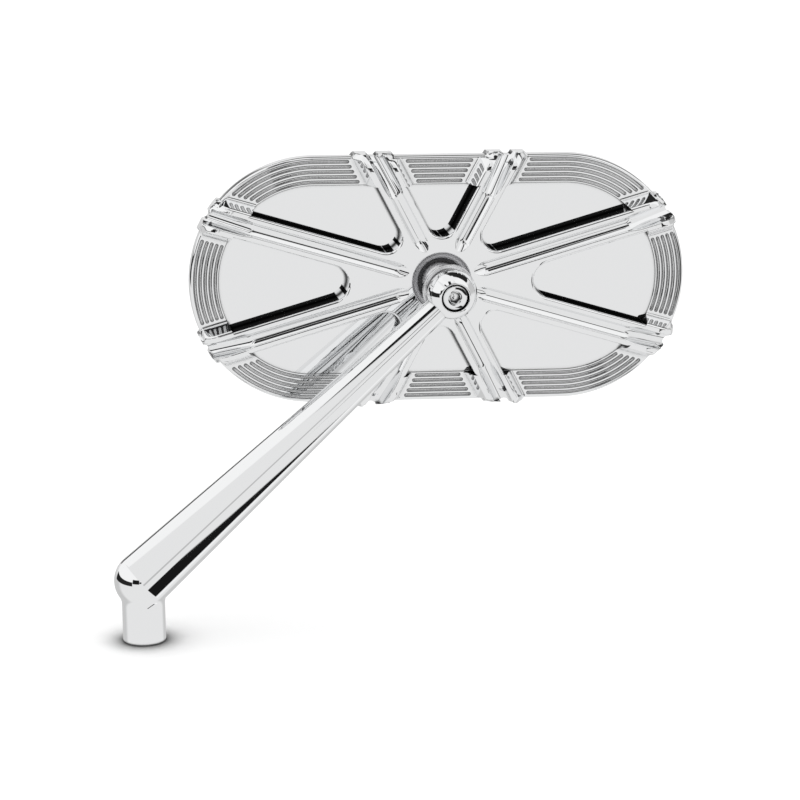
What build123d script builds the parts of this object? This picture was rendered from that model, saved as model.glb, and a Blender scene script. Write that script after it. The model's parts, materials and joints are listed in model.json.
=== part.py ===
from build123d import *
from math import asin, cos, radians, sin, sqrt, tan
import os

# All lengths are in millimetres and all angles in degrees.
# Row frame: the origin is the middle of the stub's base, +Z runs up the stub,
# the arm leans towards +X, and the back of the head faces -Y.

# Stem: stub, elbow, tapered arm and knob, made as one piece
STUB_RADIUS = 6.15
STUB_CHAMFER = 0.4
ELBOW_HEIGHT = 17.8
ELBOW_RADIUS = 8.15
FLARE_RADIUS = 4.0
ARM_RUN = 91.3
ARM_RISE = 78.1
ARM_TIP_RADIUS = 3.45
THREAD_RADIUS = 3.4
THREAD_DEPTH = 12.0
DRILL_POINT_ANGLE = 118.0
KNOB_RADIUS = 7.15
KNOB_BACK_RADIUS = 6.2
KNOB_FRONT = 4.6
KNOB_LAND = 0.35

# Clamp screw and its lock washer, in the knob's counterbore
SCREW_RADIUS = 2.0
SCREW_LENGTH = 13.0
SCREW_HEAD_RADIUS = 3.75
SCREW_HEAD_HEIGHT = 3.0
SCREW_HEAD_CHAMFER = 0.35
SCREW_HEAD_SET = 0.5
SCREW_CLEARANCE = 0.2
THREAD_CLEARANCE = 0.05
HEAD_SIDE_GAP = 0.25
HEX_ACROSS_FLATS = 3.0
HEX_DEPTH = 1.8
WASHER_WALL = 1.5
WASHER_THICKNESS = 0.9
WASHER_SPLIT = 0.8

# Ball stud
BALL_RADIUS = 6.5
BALL_FLAT_RADIUS = 3.9
NECK_RADIUS = 3.4
NECK_CHAMFER = 1.0
COLLAR_RADIUS = 7.6
COLLAR_THICKNESS = 1.3
COLLAR_CHAMFER = 0.25
STUD_REACH = 14.2
COLLAR_GAP = 0.4
TAP_EXTRA = 1.0

# Liner, pressure ring, disc spring and retainer, stacked in the hub
BALL_CLEARANCE = 0.06
LINER_WALL = 1.0
LINER_CLEARANCE = 0.06
LINER_SPLIT = 0.1
LINER_FRONT_DEPTH = 2.6
MOUTH_ANGLE = 60.0
RING_DROP = 0.6
RING_GAP = 0.1
RING_WALL = 0.9
RING_HEIGHT = 4.3
RING_CONTACT = 2.0
RING_CLEARANCE = 0.05
SPRING_BORE = 4.6
SPRING_EDGE = 0.3
SPRING_THICKNESS = 0.6
SPRING_RISE = 0.5
SEAT_GAP = 0.02
PLATE_RADIUS = 13.5
PLATE_THICKNESS = 1.6
PLATE_LIP = 0.4
PLATE_SCREW_COUNT = 4
PLATE_SCREW_START = 45.0
PLATE_SCREW_CIRCLE = 11.2
PLATE_SCREW_RADIUS = 1.25
PLATE_SCREW_GRIP = 3.5
PLATE_SCREW_HEAD_RADIUS = 2.3
PLATE_SCREW_HEAD_HEIGHT = 1.4
PLATE_SCREW_HEX = 1.5
PLATE_SCREW_HEX_DEPTH = 0.8
PLATE_SCREW_CHAMFER = 0.5

# Head: levels run along the back's normal, outline sizes across it
HEAD_LENGTH = 144.0
HEAD_HEIGHT = 71.5
RELIEF_HEIGHT = 6.5
RIM_STEP = 0.4
RIM_BAND = 8.1
WALL_DEPTH = 5.0
BODY_DEPTH = 12.8
FRONT_INSET = 3.0
BEZEL = 2.0
LEDGE = 4.0
WEB = 3.5
BOSS_EDGE = 1.0
GLASS_SET = 0.4
GLASS_THICKNESS = 2.8
GLASS_GAP = 0.25
GLASS_CHAMFER = 0.5
PAD_THICKNESS = 0.8
DISH_DEPTH = 1.7
DISH_ANGLE = 45.0
LINER_SETBACK = 0.2

# Spokes, flutes and rim grooves on the back
LONG_SPOKE_ANGLE = 16.3
STEEP_SPOKE_ANGLE = 62.3
SPOKE_HALF_WIDTH = 3.7
SPOKE_CHAMFER = 0.45
POCKET_CORNER = 4.4
END_POCKET_CORNER = 5.3
PAD_TOP_HALF_WIDTH = 4.2
PAD_HALF_WIDTH = 6.0
PAD_OVERHANG = 1.0
PAD_END_RADIUS = 5.0
FLUTE_RADIUS = 2.3
FLUTE_DEPTH = 1.15
FLUTE_START = 13.0
FLUTE_RAMP_ANGLE = 20.0
FLUTE_RUN_OUT = 12.0
FLUTE_FALL_ANGLE = 22.0
GROOVE_COUNT = 5
GROOVE_PITCH = 1.46
GROOVE_HALF_WIDTH = 0.66
GROOVE_DEPTH = 0.55
GROOVE_END_GAP = 1.25

# How the head is set on its ball
HEAD_PAN = 3.0
HEAD_TILT = 4.0
HEAD_ROLL = -2.0

# Radii of the nested ball joint
LINER_INNER = BALL_RADIUS + BALL_CLEARANCE
LINER_OUTER = LINER_INNER + LINER_WALL
SOCKET_RADIUS = LINER_OUTER + LINER_CLEARANCE
RING_RADIUS = SOCKET_RADIUS + RING_WALL
RING_BORE = RING_RADIUS + RING_CLEARANCE
BALL_FLAT = sqrt(BALL_RADIUS**2 - BALL_FLAT_RADIUS**2)

# Levels of the head, counted from the ball's centre, + towards the back
LINER_EDGE = LINER_INNER * cos(radians(MOUTH_ANGLE))
DISH_FLOOR = LINER_EDGE + LINER_SETBACK
HUB_FACE = DISH_FLOOR + DISH_DEPTH
POCKET_FLOOR = HUB_FACE - RELIEF_HEIGHT
RIM_FACE = POCKET_FLOOR + RIM_STEP
WALL_FOOT = RIM_FACE - WALL_DEPTH
FRONT_EDGE = RIM_FACE - BODY_DEPTH
GLASS_FRONT = FRONT_EDGE + GLASS_SET
GLASS_BACK = GLASS_FRONT + GLASS_THICKNESS
LEDGE_FACE = GLASS_BACK + PAD_THICKNESS
WEB_FACE = POCKET_FLOOR - WEB
RING_TOP = -RING_DROP - RING_GAP
RING_BOTTOM = RING_TOP - RING_HEIGHT
SPRING_TOP = RING_BOTTOM - SEAT_GAP
PLATE_SEAT = SPRING_TOP - SPRING_RISE - SPRING_THICKNESS - SEAT_GAP
PLATE_UNDER = PLATE_SEAT - PLATE_THICKNESS

# The arm narrows like a tangent cone, and its flank clears the stud's collar
ARM_LENGTH = sqrt(ARM_RUN**2 + ARM_RISE**2)
ARM_NARROWING = (ELBOW_RADIUS - ARM_TIP_RADIUS) / ARM_LENGTH
ARM_GIRTH = cos(asin(ARM_NARROWING))
ARM_AT_COLLAR = (ARM_TIP_RADIUS + ARM_NARROWING * COLLAR_RADIUS) / ARM_GIRTH

# Levels on the stud's axis, counted from the ball's centre
KNOB_LEVEL = STUD_REACH + COLLAR_GAP + ARM_AT_COLLAR
KNOB_TOP = KNOB_LEVEL + KNOB_FRONT
SCREW_TOP = KNOB_TOP - SCREW_HEAD_SET
SCREW_SEAT = SCREW_TOP - SCREW_HEAD_HEIGHT
WASHER_SEAT = SCREW_SEAT - WASHER_THICKNESS
SCREW_END = SCREW_SEAT - SCREW_LENGTH
COUNTERBORE = SCREW_HEAD_RADIUS + HEAD_SIDE_GAP

# Places in the row frame
ELBOW = Vector(0, 0, ELBOW_HEIGHT)
KNOB = ELBOW + Vector(ARM_RUN, 0, ARM_RISE)
BALL = KNOB + Vector(0, KNOB_LEVEL, 0)
STUD_FRAME = Plane(origin=BALL, x_dir=(1, 0, 0), z_dir=(0, -1, 0))
BACK_NORMAL = Vector(
    -sin(radians(HEAD_PAN)) * cos(radians(HEAD_TILT)),
    -cos(radians(HEAD_PAN)) * cos(radians(HEAD_TILT)),
    sin(radians(HEAD_TILT)),
)
HEAD_SIDE = Vector(cos(radians(HEAD_PAN)), -sin(radians(HEAD_PAN)), 0)
HEAD_FRAME = Plane(BALL, HEAD_SIDE.rotate(Axis((0, 0, 0), BACK_NORMAL), HEAD_ROLL), BACK_NORMAL)

SPOKE_BARS = (LONG_SPOKE_ANGLE, STEEP_SPOKE_ANGLE, -STEEP_SPOKE_ANGLE, -LONG_SPOKE_ANGLE)
OVERCUT = 1.0


def prism(outline, low, high):
    return extrude(Pos(0, 0, low) * outline, amount=high - low)


def turned(*edges):
    return revolve(Plane.XZ * make_face(Curve() + list(edges)), Axis.Z)


def spherical_ring(outer, inner, low, high):
    return (Sphere(outer) - Sphere(inner)) & prism(Circle(2 * outer), low, high)


def stadium(inset=0.0):
    return SlotOverall(HEAD_LENGTH - 2 * inset, HEAD_HEIGHT - 2 * inset)


def reach_to_outline(angle):
    straight = (HEAD_LENGTH - HEAD_HEIGHT) / 2
    end_radius = HEAD_HEIGHT / 2
    across, up = cos(radians(angle)), sin(radians(angle))
    to_edge = end_radius / abs(up)
    if to_edge * across <= straight:
        return to_edge
    return straight * across + sqrt(end_radius**2 - (straight * up) ** 2)


def stub():
    flare_level = ELBOW_HEIGHT - sqrt(
        (ELBOW_RADIUS + FLARE_RADIUS) ** 2 - (STUB_RADIUS + FLARE_RADIUS) ** 2
    )
    share = ELBOW_RADIUS / (ELBOW_RADIUS + FLARE_RADIUS)
    flare_end = (
        (STUB_RADIUS + FLARE_RADIUS) * share,
        ELBOW_HEIGHT - (ELBOW_HEIGHT - flare_level) * share,
    )
    base_edge = (STUB_RADIUS - STUB_CHAMFER, 0)
    side_foot = (STUB_RADIUS, STUB_CHAMFER)
    side_top = (STUB_RADIUS, flare_level)
    return turned(
        Polyline((0, ELBOW_HEIGHT), (0, 0), base_edge, side_foot, side_top),
        TangentArc(side_top, flare_end, tangent=(0, 1)),
        Line(flare_end, (0, ELBOW_HEIGHT)),
    )


def threaded_hole():
    point = THREAD_RADIUS / tan(radians(DRILL_POINT_ANGLE / 2))
    return turned(
        Polyline(
            (0, -OVERCUT),
            (THREAD_RADIUS, -OVERCUT),
            (THREAD_RADIUS, THREAD_DEPTH),
            (0, THREAD_DEPTH + point),
            close=True,
        )
    )


def arm():
    along = KNOB - ELBOW
    start = ELBOW + along.normalized() * (ELBOW_RADIUS * ARM_NARROWING)
    taper = Cone(
        ELBOW_RADIUS * ARM_GIRTH,
        ARM_TIP_RADIUS * ARM_GIRTH,
        ARM_LENGTH - (ELBOW_RADIUS - ARM_TIP_RADIUS) * ARM_NARROWING,
        align=(Align.CENTER, Align.CENTER, Align.MIN),
    )
    return Plane(origin=start, z_dir=along) * taper + Pos(ELBOW) * Sphere(ELBOW_RADIUS)


def knob():
    back_edge = (KNOB_BACK_RADIUS, STUD_REACH)
    waist = (KNOB_RADIUS, KNOB_LEVEL)
    front_edge = (COUNTERBORE + KNOB_LAND, KNOB_TOP)
    return turned(
        Polyline((0, KNOB_TOP), (0, STUD_REACH), back_edge, waist),
        TangentArc(waist, front_edge, tangent=(0, 1)),
        Line(front_edge, (0, KNOB_TOP)),
    )


def make_stem():
    screw_way = prism(Circle(COUNTERBORE), WASHER_SEAT, KNOB_TOP + OVERCUT)
    screw_way += prism(Circle(SCREW_RADIUS + SCREW_CLEARANCE), STUD_REACH - OVERCUT, KNOB_TOP)
    body = stub() + arm() + STUD_FRAME * knob()
    return body - threaded_hole() - STUD_FRAME * screw_way


def make_clamp_screw():
    rim = (SCREW_HEAD_RADIUS, SCREW_TOP - SCREW_HEAD_CHAMFER)
    screw = turned(
        Polyline(
            (0, SCREW_END),
            (SCREW_RADIUS, SCREW_END),
            (SCREW_RADIUS, SCREW_SEAT),
            (SCREW_HEAD_RADIUS, SCREW_SEAT),
            rim,
            (SCREW_HEAD_RADIUS - SCREW_HEAD_CHAMFER, SCREW_TOP),
            (0, SCREW_TOP),
            close=True,
        )
    )
    hexagon = RegularPolygon(HEX_ACROSS_FLATS / 2, 6, major_radius=False)
    return STUD_FRAME * (screw - prism(hexagon, SCREW_TOP - HEX_DEPTH, SCREW_TOP + OVERCUT))


def make_lock_washer():
    bore = SCREW_RADIUS + SCREW_CLEARANCE
    outer = bore + WASHER_WALL
    ring = Circle(outer) - Circle(bore) - Pos(0, outer) * Rectangle(WASHER_SPLIT, 2 * outer)
    return STUD_FRAME * prism(ring, WASHER_SEAT, SCREW_SEAT)


def make_ball_stud():
    neck_foot = (NECK_RADIUS, sqrt(BALL_RADIUS**2 - NECK_RADIUS**2))
    collar_foot = STUD_REACH - COLLAR_THICKNESS
    neck_top = (NECK_RADIUS, collar_foot - NECK_CHAMFER)
    collar_in = (NECK_RADIUS + NECK_CHAMFER, collar_foot)
    flat_edge = (BALL_FLAT_RADIUS, -BALL_FLAT)
    stud = turned(
        Polyline((0, STUD_REACH), (0, -BALL_FLAT), flat_edge),
        ThreePointArc(flat_edge, (BALL_RADIUS, 0), neck_foot),
        Polyline(
            neck_foot,
            neck_top,
            collar_in,
            (COLLAR_RADIUS - COLLAR_CHAMFER, collar_foot),
            (COLLAR_RADIUS, collar_foot + COLLAR_CHAMFER),
            (COLLAR_RADIUS, STUD_REACH - COLLAR_CHAMFER),
            (COLLAR_RADIUS - COLLAR_CHAMFER, STUD_REACH),
            (0, STUD_REACH),
        ),
    )
    tapped = prism(
        Circle(SCREW_RADIUS + THREAD_CLEARANCE), SCREW_END - TAP_EXTRA, STUD_REACH + OVERCUT
    )
    return STUD_FRAME * (stud - tapped)


def back_cap():
    # The spokes and pads roll over the outline and stand a little proud of the wall
    cap = prism(stadium(-PAD_OVERHANG), WALL_FOOT, HUB_FACE)
    cap = chamfer(cap.faces().sort_by(Axis.Z)[0].edges(), PAD_OVERHANG)
    return fillet(cap.faces().sort_by(Axis.Z)[-1].edges(), PAD_END_RADIUS)


def relief():
    bars = Sketch()
    for angle in SPOKE_BARS:
        bars += Rot(0, 0, angle) * Rectangle(2 * HEAD_LENGTH, 2 * SPOKE_HALF_WIDTH)
    corners = [v for v in bars.vertices() if Vector(v).length < HEAD_HEIGHT / 2]
    bars = fillet([v for v in corners if abs(v.Y) > SPOKE_CHAMFER], POCKET_CORNER)
    ends = [v for v in bars.vertices() if abs(v.Y) < SPOKE_CHAMFER]
    outline = fillet(ends, END_POCKET_CORNER) & stadium(-PAD_OVERHANG)
    raised = prism(outline, WALL_FOOT, HUB_FACE)
    return chamfer(raised.faces().sort_by(Axis.Z)[-1].edges(), SPOKE_CHAMFER) & back_cap()


def rim_pads():
    section = Polygon(
        (-PAD_HALF_WIDTH, RIM_FACE),
        (-PAD_HALF_WIDTH, WALL_FOOT),
        (PAD_HALF_WIDTH, WALL_FOOT),
        (PAD_HALF_WIDTH, RIM_FACE),
        (PAD_TOP_HALF_WIDTH, HUB_FACE),
        (-PAD_TOP_HALF_WIDTH, HUB_FACE),
        align=None,
    )
    bars = Part()
    for angle in SPOKE_BARS:
        bars += Rot(0, 0, angle) * extrude(Plane.YZ * section, HEAD_LENGTH, both=True)
    return bars & (back_cap() - prism(stadium(RIM_BAND), WALL_FOOT, HUB_FACE))


def flutes():
    # A ball cutter ramps in beside the hub, runs along the spoke and dives out over the rim
    cutters = Part()
    level = HUB_FACE + FLUTE_RADIUS - FLUTE_DEPTH
    ramp, fall = radians(FLUTE_RAMP_ANGLE), radians(FLUTE_FALL_ANGLE)
    above = Rectangle(2 * FLUTE_RADIUS, RELIEF_HEIGHT, align=(Align.CENTER, Align.MIN))
    section = Circle(FLUTE_RADIUS) + above
    for bar in SPOKE_BARS:
        bend = reach_to_outline(bar) - FLUTE_RUN_OUT
        way = Polyline(
            (FLUTE_START - FLUTE_RUN_OUT * cos(ramp), 0, level + FLUTE_RUN_OUT * sin(ramp)),
            (FLUTE_START, 0, level),
            (bend, 0, level),
            (bend + 2 * FLUTE_RUN_OUT * cos(fall), 0, level - 2 * FLUTE_RUN_OUT * sin(fall)),
        )
        first = Plane(way @ 0, (0, 1, 0), way % 0)
        cutter = sweep(first * section, way, transition=Transition.RIGHT)
        for angle in (bar, bar + 180):
            cutters += Rot(0, 0, angle) * cutter
    return cutters


def rim_grooves():
    cutters = Part()
    # The cutter's flanks run on above the rim, so it is twice as deep and wide as the groove
    tool = Polygon(
        (-2 * GROOVE_HALF_WIDTH, GROOVE_DEPTH),
        (0, -GROOVE_DEPTH),
        (2 * GROOVE_HALF_WIDTH, GROOVE_DEPTH),
        align=None,
    )
    for index in range(1, GROOVE_COUNT + 1):
        path = (Pos(0, 0, RIM_FACE) * stadium(index * GROOVE_PITCH)).wire()
        across = Vector(0, 0, 1).cross(path % 0)
        cutters += sweep(Plane(path @ 0, across, path % 0) * tool, path)
    # The grooves stop short of the pads
    land = Rectangle(2 * HEAD_LENGTH, 2 * (PAD_HALF_WIDTH + GROOVE_END_GAP))
    for angle in SPOKE_BARS:
        cutters -= Rot(0, 0, angle) * prism(land, WALL_FOOT, HUB_FACE)
    return cutters


def plate_screw_places():
    return PolarLocations(PLATE_SCREW_CIRCLE, PLATE_SCREW_COUNT, PLATE_SCREW_START)


def front_hollow():
    bezel_line = FRONT_INSET + BEZEL
    boss = prism(Circle(PLATE_RADIUS + BOSS_EDGE), PLATE_SEAT, WEB_FACE)
    hollow = prism(stadium(bezel_line), FRONT_EDGE - OVERCUT, LEDGE_FACE)
    return hollow + (prism(stadium(bezel_line + LEDGE), LEDGE_FACE, WEB_FACE) - boss)


def ball_seat():
    mouth = sqrt(SOCKET_RADIUS**2 - DISH_FLOOR**2)
    flare = tan(radians(DISH_ANGLE))
    dish = turned(
        Polyline(
            (0, DISH_FLOOR),
            (mouth, DISH_FLOOR),
            (mouth + (DISH_DEPTH + OVERCUT) * flare, HUB_FACE + OVERCUT),
            (0, HUB_FACE + OVERCUT),
            close=True,
        )
    )
    return dish + Sphere(SOCKET_RADIUS) + prism(Circle(RING_BORE), PLATE_SEAT, -RING_DROP)


def make_housing():
    wall = prism(stadium(), WALL_FOOT, RIM_FACE)
    skirt = loft(
        [Pos(0, 0, FRONT_EDGE) * stadium(FRONT_INSET), Pos(0, 0, WALL_FOOT) * stadium()],
        ruled=True,
    )
    body = wall + skirt - rim_grooves() - prism(stadium(RIM_BAND), POCKET_FLOOR, HUB_FACE)
    body = body + relief() + rim_pads() - flutes() - front_hollow() - ball_seat()
    screw_hole = prism(
        Circle(PLATE_SCREW_RADIUS + THREAD_CLEARANCE), PLATE_SEAT, PLATE_SEAT + PLATE_SCREW_GRIP
    )
    for place in plate_screw_places():
        body -= place * screw_hole
    return HEAD_FRAME * body


def make_liner_rear():
    return HEAD_FRAME * spherical_ring(LINER_OUTER, LINER_INNER, LINER_SPLIT / 2, LINER_EDGE)


def make_liner_front():
    low = -LINER_FRONT_DEPTH
    return HEAD_FRAME * spherical_ring(LINER_OUTER, LINER_INNER, low, -LINER_SPLIT / 2)


def make_pressure_ring():
    # The bore is a cone that touches the liner's sphere at the contact level
    contact = sqrt(SOCKET_RADIUS**2 - RING_CONTACT**2)
    slope = RING_CONTACT / contact
    ring = turned(
        Polyline(
            (RING_RADIUS, RING_TOP),
            (RING_RADIUS, RING_BOTTOM),
            (contact + (RING_BOTTOM + RING_CONTACT) * slope, RING_BOTTOM),
            (contact + (RING_TOP + RING_CONTACT) * slope, RING_TOP),
            close=True,
        )
    )
    return HEAD_FRAME * ring


def make_disc_spring():
    rim = RING_RADIUS - SPRING_EDGE
    spring = turned(
        Polyline(
            (rim, SPRING_TOP),
            (rim, SPRING_TOP - SPRING_THICKNESS),
            (SPRING_BORE, SPRING_TOP - SPRING_RISE - SPRING_THICKNESS),
            (SPRING_BORE, SPRING_TOP - SPRING_RISE),
            close=True,
        )
    )
    return HEAD_FRAME * spring


def make_retainer_plate():
    outline = Circle(PLATE_RADIUS) - Circle(SPRING_BORE - PLATE_LIP)
    for place in plate_screw_places():
        outline -= place * Circle(PLATE_SCREW_RADIUS + SCREW_CLEARANCE)
    return HEAD_FRAME * prism(outline, PLATE_UNDER, PLATE_SEAT)


def make_retainer_screws():
    head_low = PLATE_UNDER - PLATE_SCREW_HEAD_HEIGHT
    grip_end = PLATE_SEAT + PLATE_SCREW_GRIP - THREAD_CLEARANCE
    screw = turned(
        Polyline(
            (0, head_low),
            (PLATE_SCREW_HEAD_RADIUS - PLATE_SCREW_CHAMFER, head_low),
            (PLATE_SCREW_HEAD_RADIUS, head_low + PLATE_SCREW_CHAMFER),
            (PLATE_SCREW_HEAD_RADIUS, PLATE_UNDER),
            (PLATE_SCREW_RADIUS, PLATE_UNDER),
            (PLATE_SCREW_RADIUS, grip_end),
            (0, grip_end),
            close=True,
        )
    )
    hexagon = RegularPolygon(PLATE_SCREW_HEX / 2, 6, major_radius=False)
    screw -= prism(hexagon, head_low - OVERCUT, head_low + PLATE_SCREW_HEX_DEPTH)
    return HEAD_FRAME * Compound([place * screw for place in plate_screw_places()])


def make_adhesive_pad():
    bezel_line = FRONT_INSET + BEZEL
    outline = stadium(bezel_line + GLASS_GAP) - stadium(bezel_line + LEDGE)
    return HEAD_FRAME * prism(outline, GLASS_BACK, LEDGE_FACE)


def make_mirror_glass():
    glass = prism(stadium(FRONT_INSET + BEZEL + GLASS_GAP), GLASS_FRONT, GLASS_BACK)
    return HEAD_FRAME * chamfer(glass.faces().sort_by(Axis.Z)[0].edges(), GLASS_CHAMFER)


PIECES = {
    "stem": make_stem,
    "clamp_screw": make_clamp_screw,
    "lock_washer": make_lock_washer,
    "ball_stud": make_ball_stud,
    "ball_liner_rear": make_liner_rear,
    "ball_liner_front": make_liner_front,
    "housing": make_housing,
    "pressure_ring": make_pressure_ring,
    "disc_spring": make_disc_spring,
    "retainer_plate": make_retainer_plate,
    "retainer_screws": make_retainer_screws,
    "adhesive_pad": make_adhesive_pad,
    "mirror_glass": make_mirror_glass,
}

os.makedirs("parts", exist_ok=True)
for name, make in PIECES.items():
    export_step(make(), f"parts/{name}.step")
    print("made", name)
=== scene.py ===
import json
import math

import bmesh
import bpy
from mathutils import Matrix, Vector


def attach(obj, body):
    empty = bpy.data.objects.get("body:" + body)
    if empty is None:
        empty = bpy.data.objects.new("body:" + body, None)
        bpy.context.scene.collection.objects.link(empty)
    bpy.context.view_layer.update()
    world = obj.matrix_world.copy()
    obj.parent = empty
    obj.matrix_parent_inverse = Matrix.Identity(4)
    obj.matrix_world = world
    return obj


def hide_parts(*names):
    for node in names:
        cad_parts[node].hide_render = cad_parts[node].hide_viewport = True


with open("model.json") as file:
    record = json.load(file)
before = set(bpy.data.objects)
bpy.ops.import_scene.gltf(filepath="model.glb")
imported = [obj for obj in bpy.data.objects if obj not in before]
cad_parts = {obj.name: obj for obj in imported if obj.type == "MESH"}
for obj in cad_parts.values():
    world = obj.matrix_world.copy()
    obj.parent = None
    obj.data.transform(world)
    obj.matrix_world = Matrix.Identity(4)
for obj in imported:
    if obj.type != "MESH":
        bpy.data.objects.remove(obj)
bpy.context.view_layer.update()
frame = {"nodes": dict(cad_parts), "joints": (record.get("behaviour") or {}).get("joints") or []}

print("frame loaded:", len(frame["nodes"]), "nodes")

joints = {joint["name"]: joint for joint in frame["joints"]}
ballCentre = Vector(joints["head_roll"]["pos_m"])
headSide = Vector(joints["head_tilt"]["axis"]).normalized()
headUp = Vector(joints["head_pan"]["axis"]).normalized()
headBack = headSide.cross(headUp)
studAxis = Vector(joints["head_roll"]["axis"]).normalized()


def placeOf(origin, side, up, out):
    # pieces are modelled in millimetres in their own frame, the world is in metres
    turn = Matrix((side, up, out)).transposed().to_4x4()
    return Matrix.Translation(origin) @ turn @ Matrix.Scale(0.001, 4)


headPlace = placeOf(ballCentre, headSide, headUp, headBack)
studPlace = placeOf(ballCentre, Vector((1, 0, 0)), Vector((0, 0, 1)), studAxis)


def startFresh():
    if bpy.context.object and bpy.context.object.mode != "OBJECT":
        bpy.ops.object.mode_set(mode="OBJECT")
    bpy.ops.object.select_all(action="DESELECT")


def takeUp(piece):
    startFresh()
    piece.select_set(True)
    bpy.context.view_layer.objects.active = piece


def named(name):
    piece = bpy.context.object
    piece.name = name
    piece.data.name = name
    return piece


def openUp(piece, kind):
    takeUp(piece)
    bpy.ops.object.mode_set(mode="EDIT")
    bpy.ops.mesh.select_mode(type=kind)
    bpy.ops.mesh.select_all(action="DESELECT")
    return bmesh.from_edit_mesh(piece.data)


def pick(piece, kind, wanted):
    mesh = openUp(piece, kind)
    for item in {"VERT": mesh.verts, "EDGE": mesh.edges, "FACE": mesh.faces}[kind]:
        item.select_set(wanted(item))
    mesh.select_flush_mode()
    bmesh.update_edit_mesh(piece.data)


def isCorner(edge, degrees):
    return len(edge.link_faces) == 2 and edge.calc_face_angle(0) > math.radians(degrees)


def carve(piece, tool, how):
    takeUp(piece)
    step = piece.modifiers.new("carve", "BOOLEAN")
    step.object = tool
    step.operation = how
    step.solver = "EXACT"
    bpy.ops.object.modifier_apply(modifier=step.name)
    bpy.data.objects.remove(tool, do_unlink=True)
    return piece


def joinAll(name, parts):
    startFresh()
    for part in parts:
        part.select_set(True)
    bpy.context.view_layer.objects.active = parts[0]
    if len(parts) > 1:
        bpy.ops.object.join()
    return named(name)


def applied(piece):
    takeUp(piece)
    bpy.ops.object.transform_apply(location=True, rotation=True, scale=True)
    return piece


def settle(piece, place):
    piece.matrix_world = place
    return applied(piece)


def turnedTo(piece, degrees):
    piece.rotation_euler.z += math.radians(degrees)
    return applied(piece)


# points closer than this become one, in millimetres
weldGap = {"tool": 0.0005, "screw": 0.001, "housing": 0.002, "stem": 0.006}


def closeMesh(piece, gap):
    openUp(piece, "VERT")
    bpy.ops.mesh.select_all(action="SELECT")
    bpy.ops.mesh.remove_doubles(threshold=gap)
    bpy.ops.mesh.dissolve_degenerate(threshold=gap)
    bpy.ops.mesh.delete_loose()
    pick(piece, "VERT", lambda point: len(point.link_edges) == 2)  # left over along an edge
    bpy.ops.mesh.dissolve_verts()
    bpy.ops.mesh.select_all(action="SELECT")
    bpy.ops.mesh.normals_make_consistent(inside=False)
    bpy.ops.object.mode_set(mode="OBJECT")
    return piece


broadFlat = {"square": 0.9999, "area": 1e-6}


def keepFlats(piece, way):
    # broad flats keep their own normal, so that they mirror evenly
    def isBroad(face):
        return abs(face.normal.dot(way)) > broadFlat["square"] and face.calc_area() > broadFlat["area"]

    pick(piece, "EDGE", lambda edge: any(isBroad(face) for face in edge.link_faces))
    bpy.ops.mesh.mark_sharp()
    bpy.ops.object.mode_set(mode="OBJECT")


smoothAngle = {"housing": 28, "turned": 32, "glass": 25}


def smoothOff(piece, degrees, flatWay=None):
    takeUp(piece)
    bpy.ops.object.shade_smooth_by_angle(angle=math.radians(degrees))
    if flatWay:
        keepFlats(piece, flatWay)
    step = piece.modifiers.new("evenNormals", "WEIGHTED_NORMAL")
    step.keep_sharp = True
    step.weight = 50
    bpy.ops.object.modifier_apply(modifier=step.name)
    return piece


def arcPoints(centre, radius, first, last, count):
    points = []
    for index in range(count + 1):
        angle = math.radians(first + (last - first) * index / count)
        points.append((centre[0] + radius * math.cos(angle), centre[1] + radius * math.sin(angle)))
    return points


roundSteps = {"coarse": 96, "middle": 128, "fine": 160}


def turned(name, section, steps, closed=False):
    # a half section, radius first and height second, spun about the upright axis
    startFresh()
    bpy.ops.mesh.primitive_circle_add(vertices=len(section), radius=1, fill_type="NOTHING")
    piece = named(name)
    for point, (across, along) in zip(piece.data.vertices, section):
        point.co = (across, 0, along)
    if not closed:
        ends = {0, len(section) - 1}
        pick(piece, "EDGE", lambda edge: {point.index for point in edge.verts} == ends)
        bpy.ops.mesh.delete(type="EDGE")
    openUp(piece, "VERT")
    bpy.ops.mesh.select_all(action="SELECT")
    bpy.ops.mesh.spin(steps=roundSteps[steps], angle=math.tau, center=(0, 0, 0), axis=(0, 0, 1))
    return closeMesh(piece, weldGap["tool"])


def flatShape(name, outline):
    startFresh()
    bpy.ops.mesh.primitive_circle_add(vertices=len(outline), radius=1, fill_type="NGON")
    piece = named(name)
    for point, place in zip(piece.data.vertices, outline):
        point.co = place
    return piece


def extruded(piece, way):
    openUp(piece, "FACE")
    bpy.ops.mesh.select_all(action="SELECT")
    bpy.ops.mesh.extrude_region_move(TRANSFORM_OT_translate={"value": way})
    bpy.ops.mesh.select_all(action="SELECT")
    bpy.ops.mesh.normals_make_consistent(inside=False)
    bpy.ops.object.mode_set(mode="OBJECT")
    return piece


headShape = {
    "length": 144.0, "height": 71.5, "endSteps": 224,
    "hubFace": 5.18, "pocketFloor": -1.32, "rimFace": -0.92, "wallFoot": -5.92,
    "frontEdge": -13.72, "frontInset": 3.0, "bezel": 2.0, "ledge": 4.0,
    "ledgeFace": -9.72, "webFace": -4.82, "rimBand": 8.1,
    "wallRound": 0.7, "frontRound": 0.6, "footRound": 1.6, "stepSlope": 0.12,
    "bossRadius": 14.5, "bossTop": -3.0, "plateSeat": -6.14, "cutReach": 12.0,
}
headRadius = headShape["height"] / 2
headStraight = (headShape["length"] - headShape["height"]) / 2


def insetOf(place):
    # how far a point lies inside the head's outline
    return headRadius - math.hypot(max(abs(place.x) - headStraight, 0), place.y)


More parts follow.
